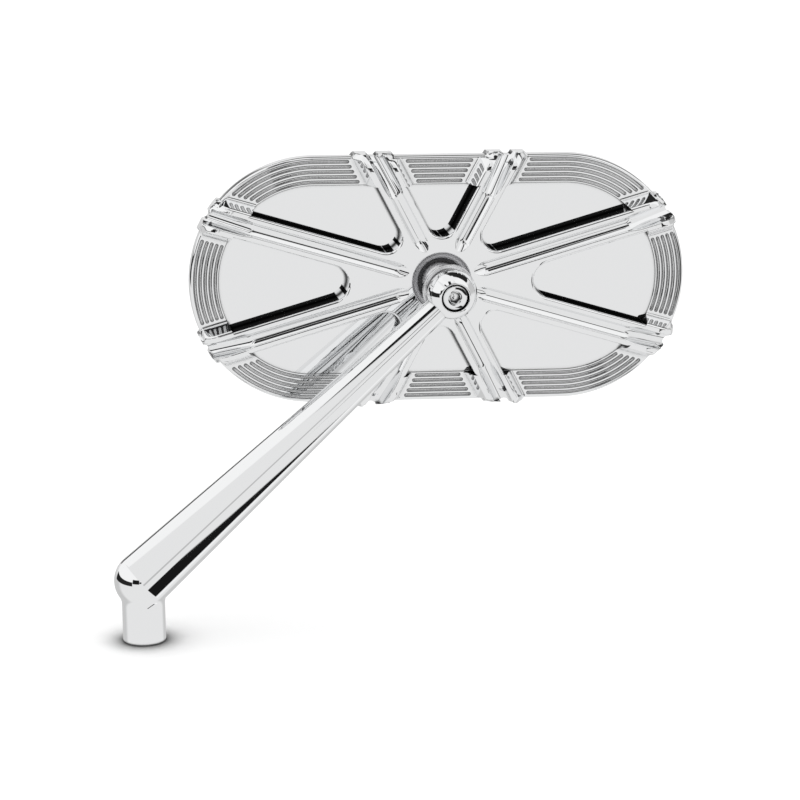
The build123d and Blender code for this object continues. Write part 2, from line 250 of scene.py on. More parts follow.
def stadiumPlate(name, inset, low, high):
    startFresh()
    steps = headShape["endSteps"]
    bpy.ops.mesh.primitive_circle_add(
        vertices=steps, radius=headRadius - inset, fill_type="NGON",
        location=(0, 0, low), rotation=(0, 0, math.pi / steps))
    piece = applied(named(name))
    for side in (1, -1):
        pick(piece, "VERT", lambda point: point.co.x * side > 0)
        bpy.ops.transform.translate(value=(side * headStraight, 0, 0))
    return extruded(piece, (0, 0, high - low))


def roundEdges(piece, wanted, size, steps):
    pick(piece, "EDGE", wanted)
    bpy.ops.mesh.bevel(offset=size, segments=steps, profile=0.5, affect="EDGES", clamp_overlap=False)
    bpy.ops.object.mode_set(mode="OBJECT")
    return piece


def atLevel(edge, level):
    return all(abs(point.co.z - level) < 0.001 for point in edge.verts)


def makeBody():
    shape = headShape
    body = stadiumPlate("spokedHousing", 0, shape["wallFoot"], shape["rimFace"])
    pick(body, "FACE", lambda face: face.normal.z < -0.9)
    bpy.ops.mesh.inset(thickness=shape["frontInset"], depth=shape["wallFoot"] - shape["frontEdge"])
    bpy.ops.mesh.inset(thickness=shape["bezel"], depth=0)
    bpy.ops.mesh.extrude_region_move(
        TRANSFORM_OT_translate={"value": (0, 0, shape["ledgeFace"] - shape["frontEdge"])})
    bpy.ops.mesh.inset(thickness=shape["ledge"], depth=0)
    bpy.ops.mesh.extrude_region_move(
        TRANSFORM_OT_translate={"value": (0, 0, shape["webFace"] - shape["ledgeFace"])})
    pick(body, "FACE", lambda face: face.normal.z > 0.9 and face.calc_center_median().z > shape["wallFoot"])
    bpy.ops.mesh.inset(thickness=shape["rimBand"], depth=0)
    bpy.ops.mesh.inset(thickness=shape["stepSlope"], depth=shape["pocketFloor"] - shape["rimFace"])
    roundEdges(body, lambda edge: isCorner(edge, 60) and atLevel(edge, shape["rimFace"])
               and all(insetOf(point.co) < shape["rimBand"] / 2 for point in edge.verts), shape["wallRound"], 6)
    roundEdges(body, lambda edge: isCorner(edge, 30) and atLevel(edge, shape["frontEdge"]),
               shape["frontRound"], 5)
    roundEdges(body, lambda edge: isCorner(edge, 12) and atLevel(edge, shape["wallFoot"]), shape["footRound"], 6)
    boss = [(radius, shape[level]) for radius, level in
            ((0, "plateSeat"), (shape["bossRadius"], "plateSeat"), (shape["bossRadius"], "bossTop"), (0, "bossTop"))]
    return carve(body, turned("boss", boss, "coarse"), "UNION")


rimGrooves = {
    "count": 5, "pitch": 1.46, "toolRadius": 0.54, "depth": 0.45, "endGap": 1.25, "step": 1.1, "search": 4000,
    "endStops": [0.003, 0.05, 0.15, 0.3, 0.5, 0.75, 1.0],
}
spokes = {
    "longAngle": 16.3, "steepAngle": 62.3, "halfWidth": 3.7, "lip": 0.65, "foot": -3.0,
    "pocketCorner": 4.4, "endCorner": 5.3, "cornerSteps": 28, "far": 90.0, "lipReach": 80.0,
}
rimPads = {
    "top": 4.2, "foot": 6.0, "lip": 0.8, "fillet": 0.8,
    "overhang": 1.0, "roll": 5.0, "edge": 0.9, "lap": 0.2, "trim": 0.02,
    "length": 15.5, "overrun": 3.5, "crowding": 1.3, "steps": 46, "depth": 8.0,
    "tongue": 0.74, "tongueInset": 0.75, "notch": 1.7, "notchGap": 0.1, "notchLength": 24.0,
}
flutes = {
    "radius": 2.3, "depth": 1.15, "lip": 0.35, "start": 13.0, "ramp": 20.0, "runOut": 12.0, "fall": 22.0,
    "blend": 0.35, "overrun": 2.5, "sink": 0.004, "least": 0.003, "floorShare": 0.72, "toolHeight": 14.0,
    "rampOver": 1.0, "fallLead": 1.5, "rampSteps": 14, "levelSteps": 6, "fallSteps": 44, "acrossSteps": 36,
}
longAngle, steepAngle = spokes["longAngle"], spokes["steepAngle"]
spokeAngles = [-longAngle, longAngle, steepAngle, 180 - steepAngle,
               180 - longAngle, 180 + longAngle, 180 + steepAngle, 360 - steepAngle]


def outlinePoint(inset, along):
    # a point of the inset outline, by its distance along it
    radius = headRadius - inset
    side, end = 2 * headStraight, math.pi * radius
    along %= 2 * (side + end)
    flip = 1
    if along >= side + end:
        along -= side + end
        flip = -1
    if along < side:
        return Vector((flip * (headStraight - along), flip * radius))
    angle = math.pi / 2 + (along - side) / radius
    return Vector((flip * (radius * math.cos(angle) - headStraight), flip * radius * math.sin(angle)))


def clearOfPads(place):
    room = rimPads["foot"] + rimGrooves["endGap"]
    return all(abs(place.x * math.sin(math.radians(angle)) - place.y * math.cos(math.radians(angle))) > room
               for angle in spokeAngles)


def grooveTool(inset, first, last):
    radius = rimGrooves["toolRadius"]
    ends = rimGrooves["endStops"]
    level = last - first - 2 * radius
    inner = max(2, int(level / rimGrooves["step"]))
    stops = [first + radius * end for end in ends]
    stops += [first + radius + level * index / inner for index in range(1, inner)]
    stops += [last - radius * end for end in reversed(ends)]
    startFresh()
    bpy.ops.curve.primitive_nurbs_path_add()
    tool = named("grooveTool")
    bpy.ops.object.mode_set(mode="EDIT")
    bpy.ops.curve.select_all(action="SELECT")
    bpy.ops.curve.spline_type_set(type="POLY")
    bpy.ops.object.mode_set(mode="OBJECT")
    spline = tool.data.splines[0]
    spline.points.add(len(stops) - len(spline.points))
    height = headShape["rimFace"] + radius - rimGrooves["depth"]
    for point, along in zip(spline.points, stops):
        place = outlinePoint(inset, along)
        short = max(0, 1 - min(along - first, last - along) / radius)
        point.co = (place.x, place.y, height, 1)
        point.radius = math.sqrt(max(0, 1 - short * short))
    tool.data.bevel_depth = radius
    tool.data.bevel_resolution = 5
    tool.data.use_fill_caps = True
    takeUp(tool)
    bpy.ops.object.convert(target="MESH")
    return closeMesh(tool, weldGap["tool"])


def makeGrooveTools():
    tools = []
    for index in range(1, rimGrooves["count"] + 1):
        inset = index * rimGrooves["pitch"]
        around = 4 * headStraight + 2 * math.pi * (headRadius - inset)
        fine = rimGrooves["search"]
        free = [clearOfPads(outlinePoint(inset, around * step / fine)) for step in range(fine)]
        start = free.index(False)
        first = None
        for step in range(start, start + fine + 1):
            if free[step % fine] and first is None:
                first = step
            if not free[step % fine] and first is not None:
                tools.append(grooveTool(inset, around * first / fine, around * step / fine))
                first = None
    return joinAll("grooveTools", tools)


def makeSpokes():
    half, far = spokes["halfWidth"], spokes["far"]
    outline = []
    for index, angle in enumerate(spokeAngles):
        along = Vector((math.cos(math.radians(angle)), math.sin(math.radians(angle))))
        across = Vector((-along.y, along.x))
        outline += [along * far - across * half, along * far + across * half]
        following = spokeAngles[(index + 1) % 8]
        following += 360 if following < angle else 0
        middle, gap = math.radians((angle + following) / 2), math.radians((following - angle) / 2)
        corner = spokes["endCorner"] if gap < math.radians(longAngle + 1) else spokes["pocketCorner"]
        reach = (half + corner) / math.sin(gap)
        centre = (reach * math.cos(middle), reach * math.sin(middle))
        arc = arcPoints(centre, corner, angle - 90, following - 270, spokes["cornerSteps"])
        outline += [Vector(point) for point in arc]
    star = flatShape("spokeStar", [(place.x, place.y, spokes["foot"]) for place in outline])
    extruded(star, (0, 0, headShape["hubFace"] - spokes["foot"]))
    roundEdges(star, lambda edge: atLevel(edge, headShape["hubFace"]) and isCorner(edge, 60)
               and any(point.co.length < spokes["lipReach"] for point in edge.verts), spokes["lip"], 6)
    inset, reach = rimPads["roll"] - rimPads["overhang"] + rimPads["lap"], headShape["cutReach"]
    return carve(star, stadiumPlate("rollStart", inset, -reach, reach), "INTERSECT")


def padSection():
    top, rim = headShape["hubFace"], headShape["rimFace"]
    lip, fillet = rimPads["lip"], rimPads["fillet"]
    lean = math.degrees(math.atan2(top - rim, rimPads["foot"] - rimPads["top"]))  # slope of the flank
    back = math.tan(math.radians(lean / 2))
    side = arcPoints((rimPads["foot"] + fillet * back, rim + fillet), fillet, 270, 270 - lean, 6)
    flank, shoulder = Vector(side[-1]), arcPoints((rimPads["top"] - lip * back, top - lip), lip, 90 - lean, 90, 6)
    side += [flank.lerp(Vector(shoulder[0]), share) for share in (0.25, 0.5, 0.75)] + shoulder
    side += [(shoulder[-1][0] * share, top) for share in (0.85, 0.6, 0.3)]
    return [tuple(point) for point in side] + [(-across, up) for across, up in reversed(side)]


def rollDrop(place):
    # how far the top has rolled down over the outline, and the small round at its very edge
    inset = insetOf(place)
    drops = []
    for size in (rimPads["roll"], rimPads["edge"]):
        left = min(max(inset + rimPads["overhang"], 0), size)
        drops.append(size - math.sqrt(size ** 2 - (size - left) ** 2))
    return drops


def reachTo(angle):
    across, up = abs(math.cos(math.radians(angle))), abs(math.sin(math.radians(angle)))
    flat = headRadius / up
    if flat * across <= headStraight:
        return flat
    return headStraight * across + math.sqrt(headRadius ** 2 - (headStraight * up) ** 2)


def makePads():
    section = padSection()
    top, rim = headShape["hubFace"], headShape["rimFace"]
    pads = []
    for angle in spokeAngles:
        startFresh()
        bpy.ops.mesh.primitive_grid_add(x_subdivisions=rimPads["steps"], y_subdivisions=len(section) - 1, size=1)
        pad = named("pad")
        turn = Matrix.Rotation(math.radians(angle), 2)
        for point in pad.data.vertices:
            across, up = section[round((point.co.y + 0.5) * (len(section) - 1))]
            back = rimPads["length"] * (0.5 - point.co.x) ** rimPads["crowding"]
            along = reachTo(angle) + rimPads["overrun"] - back
            place = turn @ Vector((along, across))
            roll, edge = rollDrop(place)
            outside = min(max(rimPads["tongueInset"] - insetOf(place), 0), 1)
            across *= 1 - (1 - rimPads["tongue"]) * outside * outside * (3 - 2 * outside)
            point.co = (along, across, up - roll * (up - rim) / (top - rim) - edge)
        pads.append(turnedTo(extruded(pad, (0, 0, -rimPads["depth"])), angle))
    joined = joinAll("pads", pads)
    cap = stadiumPlate("padEnds", rimPads["trim"] - rimPads["overhang"], headShape["wallFoot"], headShape["cutReach"])
    roundEdges(cap, lambda edge: isCorner(edge, 60) and atLevel(edge, headShape["wallFoot"]), rimPads["overhang"], 3)
    carve(joined, cap, "INTERSECT")
    reach = headShape["cutReach"]
    return carve(joined, stadiumPlate("rimInside", headShape["rimBand"], -reach, reach), "DIFFERENCE")


def softStep(value):
    return 0.5 * (value + math.hypot(value, flutes["blend"]))


def fluteTool(angle):
    # a ball cutter ramps in beside the hub, runs along the spoke and dives out over the rim
    radius, lip, start = flutes["radius"], flutes["lip"], flutes["start"]
    ramp, fall = math.tan(math.radians(flutes["ramp"])), math.tan(math.radians(flutes["fall"]))
    bend, end = reachTo(angle) - flutes["runOut"], reachTo(angle) + flutes["overrun"]
    rampSteps, levelSteps, fallSteps = flutes["rampSteps"], flutes["levelSteps"], flutes["fallSteps"]
    tip, rampEnd, fallStart = start - flutes["depth"] / ramp, start + flutes["rampOver"], bend - flutes["fallLead"]
    stops = [tip + (rampEnd - tip) * (index / rampSteps) ** 2 for index in range(rampSteps + 1)]
    stops += [rampEnd + (fallStart - rampEnd) * index / levelSteps for index in range(1, levelSteps)]
    stops += [fallStart + (end - fallStart) * index / fallSteps for index in range(fallSteps + 1)]
    turn = Matrix.Rotation(math.radians(angle), 2)
    startFresh()
    bpy.ops.mesh.primitive_grid_add(x_subdivisions=len(stops) - 1, y_subdivisions=flutes["acrossSteps"], size=1)
    trough = named("fluteTool")
    for point in trough.data.vertices:
        along = stops[round((point.co.x + 0.5) * (len(stops) - 1))]
        share, side = abs(2 * point.co.y), 1 if point.co.y >= 0 else -1
        floor = -flutes["depth"] + ramp * softStep(start - along) - fall * softStep(along - bend)
        roll, edge = rollDrop(turn @ Vector((along, side * (radius + lip))))
        top = -roll - edge - flutes["sink"]
        depth = max(top - floor, flutes["least"])
        level = 1 - depth / (radius + lip)
        spread = math.acos(max(level, 0))
        lipAcross = (radius + lip) * math.sin(spread)
        if share > flutes["floorShare"]:
            swing = spread * (1 - share) / (1 - flutes["floorShare"])
            place = (lipAcross - lip * math.sin(swing), top - lip + lip * math.cos(swing))
        else:
            swing = spread * share / flutes["floorShare"]
            place = (radius * math.sin(swing), top - depth + radius - radius * math.cos(swing))
        point.co = (along, side * place[0], headShape["hubFace"] + place[1])
    return turnedTo(extruded(trough, (0, 0, flutes["toolHeight"])), angle)


def notchTool(angle):
    # the flute's way out through the overhang
    startFresh()
    bpy.ops.mesh.primitive_cylinder_add(
        vertices=48, radius=rimPads["notch"], depth=rimPads["notchLength"],
        location=(reachTo(angle) + rimPads["notch"] + rimPads["notchGap"], 0, 0))
    return turnedTo(applied(named("notch")), angle)


def makeRelief():
    relief = carve(makeSpokes(), makePads(), "UNION")
    return carve(relief, joinAll("fluteTools", [fluteTool(angle) for angle in spokeAngles]), "DIFFERENCE")


ballSeat = {
    "bore": 8.57, "boreTop": -0.6, "socket": 7.62, "dishFloor": 3.48, "cove": 1.65, "lip": 0.3,
    "clear": 2.0, "satinEdge": 8.47, "satinFoot": 3.2, "satinTop": 5.16,
}


def makeSeatTool():
    seat, hub = ballSeat, headShape["hubFace"]
    mouth = math.sqrt(seat["socket"] ** 2 - seat["dishFloor"] ** 2)
    low = math.degrees(math.asin(seat["boreTop"] / seat["socket"]))
    high = math.degrees(math.asin(seat["dishFloor"] / seat["socket"]))
    foot, top = headShape["plateSeat"] - seat["clear"], hub + seat["clear"]
    section = [(0, foot), (seat["bore"], foot), (seat["bore"], seat["boreTop"])]
    section += arcPoints((0, 0), seat["socket"], low, high, 16)
    coveTop = hub - seat["lip"]
    coveCentre = (mouth, seat["dishFloor"] + seat["cove"])
    coveEnd = math.degrees(math.asin((coveTop - coveCentre[1]) / seat["cove"]))
    section += arcPoints(coveCentre, seat["cove"], -88, coveEnd, 14)
    edge = section[-1][0]
    section += arcPoints((edge + seat["lip"], coveTop), seat["lip"], 180, 92, 6)
    section += [(edge + seat["lip"], top), (0, top)]
    return turned("seatTool", section, "fine")


def makeHousing():
    body = makeBody()
    print("housing: shell turned out")
    carve(body, makeGrooveTools(), "DIFFERENCE")
    print("housing: rim grooves milled")
    closeMesh(carve(body, makeRelief(), "UNION"), weldGap["housing"])
    print("housing: spokes, pads and flutes on")
    closeMesh(carve(body, makeSeatTool(), "DIFFERENCE"), weldGap["housing"])
    notches = joinAll("notches", [notchTool(angle) for angle in spokeAngles])
    closeMesh(carve(body, notches, "DIFFERENCE"), weldGap["housing"])
    settle(body, headPlace)
    smoothOff(body, smoothAngle["housing"], headBack)
    print("housing:", len(body.data.polygons), "faces")
    return body


housing = makeHousing()


stemShape = {
    "stub": 6.15, "stubRound": 0.45, "elbowHeight": 17.8, "elbow": 8.15, "flare": 4.0,
    "run": 91.3, "rise": 78.1, "tip": 3.45,
    "hole": 3.4, "holeMouth": 4.1, "holeDepth": 12.0, "drillPoint": 59.0,
    "threadPitch": 1.25, "threadDepth": 0.55, "threadGap": 0.4,
    "knob": 7.15, "knobBack": 6.2, "knobFoot": 14.2, "knobWaist": 18.350173, "knobTop": 22.95, "knobEdge": 0.3,
    "counterbore": 4.0, "boreRound": 0.3, "roundSink": 0.02, "land": 0.35, "washerSeat": 18.55,
    "screwWay": 2.2, "screwWayFoot": 12.0, "clear": 1.0, "armSteps": 24,
}


def throughPoint(waist, level, point):
    # centre and radius of the arc that leaves the waist upright and ends at a point
    across, along = point[0], point[1] - level
    centre = (waist ** 2 - across ** 2 - along ** 2) / (2 * (waist - across))
    radius = waist - centre
    return (centre, level), radius, math.degrees(math.atan2(along, across - centre))


def makeStub():
    stem = stemShape
    reach = stem["elbow"] + stem["flare"]
    flareFoot = stem["elbowHeight"] - math.sqrt(reach ** 2 - (stem["stub"] + stem["flare"]) ** 2)
    flareCentre = (stem["stub"] + stem["flare"], flareFoot)
    meets = math.degrees(math.atan2(stem["elbowHeight"] - flareFoot, -flareCentre[0]))
    curve = stem["stubRound"]
    section = [(0, 0)] + arcPoints((stem["stub"] - curve, curve), curve, -90, 0, 6)
    section += [(stem["stub"], flareFoot * share) for share in (0.3, 0.6)]
    section += arcPoints(flareCentre, stem["flare"], 180, meets, 14)
    section += [(0, stem["elbowHeight"])]
    return turned("taperedStem", section, "fine")


def makeFootHole():
    stem = stemShape
    hole, mouth, depth, pitch = (stem[label] for label in ("hole", "holeMouth", "holeDepth", "threadPitch"))
    section = [(0, depth + hole / math.tan(math.radians(stem["drillPoint"]))), (hole, depth)]
    for index in range(int((depth - 1) / pitch)):
        low = depth - stem["threadGap"] - index * pitch
        section += [(hole, low), (hole + stem["threadDepth"], low - pitch / 2)]
    section += [(hole, mouth - hole), (mouth, 0), (mouth, -stem["clear"]), (0, -stem["clear"])]
    return turned("footHole", section, "fine")


def makeArm():
    stem = stemShape
    length = math.hypot(stem["run"], stem["rise"])
    narrowing = (stem["elbow"] - stem["tip"]) / length
    leave = math.degrees(math.asin(narrowing))
    section = arcPoints((0, 0), stem["elbow"], -90, leave, 60)
    foot, last = Vector(section[-1]), Vector((stem["tip"] * math.cos(math.radians(leave)), length))
    section += [tuple(foot.lerp(last, (index + 1) / stem["armSteps"])) for index in range(stem["armSteps"])]
    section += [(0, length)]
    arm = turned("arm", section, "fine")
    along = Vector((stem["run"], 0, stem["rise"])).normalized()
    turn = along.to_track_quat("Z", "Y").to_matrix().to_4x4()
    return settle(arm, Matrix.Translation((0, 0, stem["elbowHeight"])) @ turn)


def standOnStud(piece):
    # the stem is modelled in the part's frame, in millimetres
    return settle(piece, Matrix.Scale(1000, 4) @ studPlace)


def makeKnob():
    stem = stemShape
    waist = stem["knobWaist"]
    backCentre, backRadius, backEnd = throughPoint(
        stem["knob"], waist, (stem["knobBack"], stem["knobFoot"] + stem["knobEdge"]))
    frontCentre, frontRadius, frontEnd = throughPoint(
        stem["knob"], waist, (stem["counterbore"] + stem["land"], stem["knobTop"]))
    section = [(0, stem["knobFoot"]), (stem["knobBack"] - stem["knobEdge"], stem["knobFoot"])]
    section += arcPoints(backCentre, backRadius, backEnd, 0, 12)
    section += arcPoints(frontCentre, frontRadius, 0, frontEnd, 24)[1:]
    section += [(0, stem["knobTop"])]
    return standOnStud(turned("knob", section, "fine"))


def makeScrewWay():
    stem = stemShape
    way, foot, seat = stem["screwWay"], stem["screwWayFoot"], stem["washerSeat"]
    bore, top, curve = stem["counterbore"], stem["knobTop"], stem["boreRound"]
    section = [(0, foot), (way, foot), (way, seat), (bore, seat)]
    section += arcPoints((bore + curve, top - curve + stem["roundSink"]), curve, 180, 95, 5)
    section += [(bore + curve, top + stem["clear"]), (0, top + stem["clear"])]
    return standOnStud(turned("screwWay", section, "middle"))


def makeStem():
    stem = makeStub()
    carve(stem, makeArm(), "UNION")
    carve(stem, makeKnob(), "UNION")
    carve(stem, makeScrewWay(), "DIFFERENCE")
    carve(stem, makeFootHole(), "DIFFERENCE")
    closeMesh(stem, weldGap["stem"])
    settle(stem, Matrix.Scale(0.001, 4))
    smoothOff(stem, smoothAngle["turned"])
    print("stem:", len(stem.data.polygons), "faces")
    return stem


studShape = {
    "ball": 6.5, "flat": 3.9, "neck": 3.4, "neckFillet": 1.0, "collar": 7.6, "collarFoot": 12.9,
    "reach": 14.2, "edge": 0.25, "tap": 2.05, "tapMouth": 0.3, "tapEnd": 5.45,
}


def makeBallStud():
    stud = studShape
    low = -math.degrees(math.acos(stud["flat"] / stud["ball"]))
    high = math.degrees(math.acos(stud["neck"] / stud["ball"]))
    edge, fillet = stud["edge"], stud["neckFillet"]
    section = [(0, stud["ball"] * math.sin(math.radians(low)))]
    section += arcPoints((0, 0), stud["ball"], low, high, 40)
    section += arcPoints((stud["neck"] + fillet, stud["collarFoot"] - fillet), fillet, 180, 90, 8)
    section += arcPoints((stud["collar"] - edge, stud["collarFoot"] + edge), edge, -90, 0, 4)
    section += arcPoints((stud["collar"] - edge, stud["reach"] - edge), edge, 0, 90, 4)
    section += [(stud["tap"] + stud["tapMouth"], stud["reach"]), (stud["tap"], stud["reach"] - stud["tapMouth"]),
                (stud["tap"], stud["tapEnd"]), (0, stud["tapEnd"])]
    piece = settle(turned("ballStud", section, "middle"), studPlace)
    return smoothOff(piece, smoothAngle["turned"])


screwShape = {
    "shank": 2.0, "end": 6.45, "endEdge": 0.4, "threadFoot": 0.3, "threadTop": 14.2, "pitch": 0.7,
    "threadDepth": 0.35, "seat": 19.45, "head": 3.75, "top": 22.45, "edge": 0.5, "dome": 0.12,
    "hex": 3.0, "hexTurn": 12.0, "hexDepth": 1.8, "mouth": 1.95, "mouthLip": 0.25, "lipDrop": 0.05, "mouthDepth": 0.35,
    "drillTip": 0.02, "drillDepth": 0.8,
}


def makeClampScrew():
    screw = screwShape
    section = [(0, screw["end"]), (screw["shank"] - screw["endEdge"], screw["end"])]
    for index in range(int((screw["threadTop"] - screw["end"]) / screw["pitch"])):
        low = screw["end"] + screw["threadFoot"] + index * screw["pitch"]
        section += [(screw["shank"], low), (screw["shank"] - screw["threadDepth"], low + screw["pitch"] / 2)]
    section += [(screw["shank"], screw["threadTop"]), (screw["shank"], screw["seat"]), (screw["head"], screw["seat"])]
    section += arcPoints((screw["head"] - screw["edge"], screw["top"] - screw["edge"] - screw["dome"]),
                         screw["edge"], 0, 84, 6)
    top, mouth, corner = screw["top"], screw["mouth"], screw["hex"] / math.sqrt(3)
    section += [(mouth + screw["mouthLip"], top), (mouth, top - screw["lipDrop"]),
                (corner, top - screw["mouthDepth"]), (0, top - screw["mouthDepth"])]
    piece = turned("socketScrew", section, "coarse")
    startFresh()
    bpy.ops.mesh.primitive_cylinder_add(
        vertices=6, radius=corner, depth=2 * screw["hexDepth"],
        location=(0, 0, top), rotation=(0, 0, math.radians(screw["hexTurn"])))
    carve(piece, applied(named("hexTool")), "DIFFERENCE")
    startFresh()
    bpy.ops.mesh.primitive_cone_add(  # drill point at the foot of the socket
        vertices=48, radius1=screw["drillTip"], radius2=screw["hex"] / 2, depth=screw["drillDepth"],
        location=(0, 0, top - screw["hexDepth"]))
    carve(piece, applied(named("drillPoint")), "DIFFERENCE")
    closeMesh(piece, weldGap["screw"])
    return smoothOff(settle(piece, studPlace), smoothAngle["turned"])


linerShape = {"inner": 6.56, "outer": 7.56, "split": 0.05, "edge": 3.28, "round": 0.12}


def makeBallLiner():
    liner = linerShape
    angles = [math.degrees(math.asin(level / radius)) for level in (liner["split"], liner["edge"] - liner["round"])
              for radius in (liner["outer"], liner["inner"])]
    section = arcPoints((0, 0), liner["outer"], angles[0], angles[2], 14)
    section += [(section[-1][0] - liner["round"], liner["edge"])]
    inner = arcPoints((0, 0), liner["inner"], angles[3], angles[1], 14)
    section += [(inner[0][0] + liner["round"], liner["edge"])] + inner
    piece = settle(turned("ballLiner", section, "middle", closed=True), headPlace)
    return smoothOff(piece, smoothAngle["turned"])


glassShape = {"inset": 5.25, "front": -13.32, "back": -10.52, "edge": 0.5}


def makeMirrorGlass():
    glass = stadiumPlate("mirrorPlate", glassShape["inset"], glassShape["front"], glassShape["back"])
    roundEdges(glass, lambda edge: atLevel(edge, glassShape["front"]) and isCorner(edge, 60), glassShape["edge"], 2)
    return smoothOff(settle(glass, headPlace), smoothAngle["glass"], headBack)


stem = makeStem()
ballStud = makeBallStud()
clampScrew = makeClampScrew()
ballLiner = makeBallLiner()
mirrorGlass = makeMirrorGlass()
print("stem, stud, screw, liner and glass modelled")


def socketGroup(name, inputs, outputs):
    group = bpy.data.node_groups.new(name, "ShaderNodeTree")
    for way, sockets in (("INPUT", inputs), ("OUTPUT", outputs)):
        for label, kind in sockets:
            group.interface.new_socket(label, in_out=way, socket_type=kind)
    return group, group.nodes.new("NodeGroupInput"), group.nodes.new("NodeGroupOutput")


def feed(tree, socket, value):
    if isinstance(value, bpy.types.NodeSocket):
        tree.links.new(value, socket)
    else:
        socket.default_value = value


def mathNode(tree, operation, *values):
    node = tree.nodes.new("ShaderNodeMath")
    node.operation = operation
    for socket, value in zip(node.inputs, values):
        feed(tree, socket, value)
    return node.outputs[0]


def rangeNode(tree, value, low, high, first, last):
    node = tree.nodes.new("ShaderNodeMapRange")
    node.interpolation_type = "SMOOTHSTEP"
    for label, number in (("Value", value), ("From Min", low), ("From Max", high), ("To Min", first), ("To Max", last)):
        feed(tree, node.inputs[label], number)
    return node.outputs["Result"]


def noiseNode(tree, place, scale, detail, rough=0.5):
    node = tree.nodes.new("ShaderNodeTexNoise")
    for label, number in (("Vector", place), ("Scale", scale), ("Detail", detail), ("Roughness", rough)):
        feed(tree, node.inputs[label], number)
    return node.outputs["Fac"]


smears = {"turn": (0.3, 0.5, 0.7), "stretch": (1, 9, 1), "size": 35, "rough": 0.6, "from": 0.56, "full": 0.78}


def makePolishGroup():
    # roughness that wanders a little: buffing haze and handling smears
    labels = ("Rough", "Haze", "Smears", "Size")
    group, given, result = socketGroup(
        "buffedFinish",
        [("Place", "NodeSocketVector")] + [(label, "NodeSocketFloat") for label in labels],
        [("Roughness", "NodeSocketFloat")])
    haze = noiseNode(group, given.outputs["Place"], given.outputs["Size"], 3)
    stretch = group.nodes.new("ShaderNodeMapping")
    stretch.inputs["Rotation"].default_value = smears["turn"]
    stretch.inputs["Scale"].default_value = smears["stretch"]
    group.links.new(given.outputs["Place"], stretch.inputs["Vector"])
    smear = noiseNode(group, stretch.outputs["Vector"], smears["size"], 4, smears["rough"])
    smear = rangeNode(group, smear, smears["from"], smears["full"], 0, 1)
    rough = mathNode(group, "MULTIPLY_ADD", haze, given.outputs["Haze"], given.outputs["Rough"])
    rough = mathNode(group, "MULTIPLY_ADD", smear, given.outputs["Smears"], rough)
    group.links.new(rough, result.inputs["Roughness"])
    return group


def makeGrainGroup():
    # fine grain with a slow change of tone, for plastic, foam and plated parts
    group, given, result = socketGroup(
        "fineGrain",
        [("Place", "NodeSocketVector"), ("Size", "NodeSocketFloat"),
         ("Dark", "NodeSocketColor"), ("Light", "NodeSocketColor")],
        [("Tone", "NodeSocketColor"), ("Height", "NodeSocketFloat")])
    grain = noiseNode(group, given.outputs["Place"], given.outputs["Size"], 4)
    slow = noiseNode(group, given.outputs["Place"], 90, 2)
    share = mathNode(group, "MULTIPLY_ADD", grain, 0.5, mathNode(group, "MULTIPLY", slow, 0.5))
    mix = group.nodes.new("ShaderNodeMix")
    mix.data_type = "RGBA"
    group.links.new(share, mix.inputs["Factor"])
    group.links.new(given.outputs["Dark"], mix.inputs["A"])
    group.links.new(given.outputs["Light"], mix.inputs["B"])
    group.links.new(mix.outputs["Result"], result.inputs["Tone"])
    group.links.new(grain, result.inputs["Height"])
    return group


def makeRecessGroup():
    # painted shade: a colour that darkens in grooves, inner corners and where something stands close by
    group, given, result = socketGroup(
        "recessShade",
        [("Color", "NodeSocketColor")] + [(label, "NodeSocketFloat") for label in ("Reach", "Low", "High", "Dark")],
        [("Tone", "NodeSocketColor")])
    values = given.outputs
    hollow = group.nodes.new("ShaderNodeAmbientOcclusion")
    hollow.samples = 8
    group.links.new(values["Reach"], hollow.inputs["Distance"])
    tone = group.nodes.new("ShaderNodeVectorMath")
    tone.operation = "SCALE"
    group.links.new(values["Color"], tone.inputs["Vector"])
    group.links.new(rangeNode(group, hollow.outputs["AO"], values["Low"], values["High"], values["Dark"], 1.0),
                    tone.inputs["Scale"])
    group.links.new(tone.outputs["Vector"], result.inputs["Tone"])
    return group


buffedFinish = makePolishGroup()
fineGrain = makeGrainGroup()
recessShade = makeRecessGroup()


def startMaterial(name, color, metallic, roughness):
    material = bpy.data.materials.new(name)
    material.use_nodes = True
    material.diffuse_color = (*color, 1)
    shader = material.node_tree.nodes["Principled BSDF"]
    shader.inputs["Base Color"].default_value = (*color, 1)
    shader.inputs["Metallic"].default_value = metallic
    shader.inputs["Roughness"].default_value = roughness
    place = material.node_tree.nodes.new("ShaderNodeTexCoord").outputs["Object"]
    return material, material.node_tree, shader, place


def addGroup(tree, group, **values):
    node = tree.nodes.new("ShaderNodeGroup")
    node.node_tree = group
    for label, value in values.items():
        feed(tree, node.inputs[label], value)
    return node


def addBump(tree, shader, height, strength, distance):
    bump = tree.nodes.new("ShaderNodeBump")
    bump.inputs["Strength"].default_value = strength
    bump.inputs["Distance"].default_value = distance
    tree.links.new(height, bump.inputs["Height"])
    tree.links.new(bump.outputs["Normal"], shader.inputs["Normal"])


def makeChrome():
    color = (0.89, 0.895, 0.9)
    material, tree, shader, place = startMaterial("brightChrome", color, 1, 0.03)
    finish = addGroup(tree, buffedFinish, Place=place, Rough=0.012, Haze=0.02, Smears=0.03, Size=70)
    tree.links.new(finish.outputs["Roughness"], shader.inputs["Roughness"])
    # painted shade: the chrome's colour darkens in grooves, inner corners and where pieces stand close
    shade = addGroup(tree, recessShade, Color=(*color, 1), Reach=0.0012, Low=0.55, High=0.93, Dark=0.08)
    tree.links.new(shade.outputs["Tone"], shader.inputs["Base Color"])
    return material


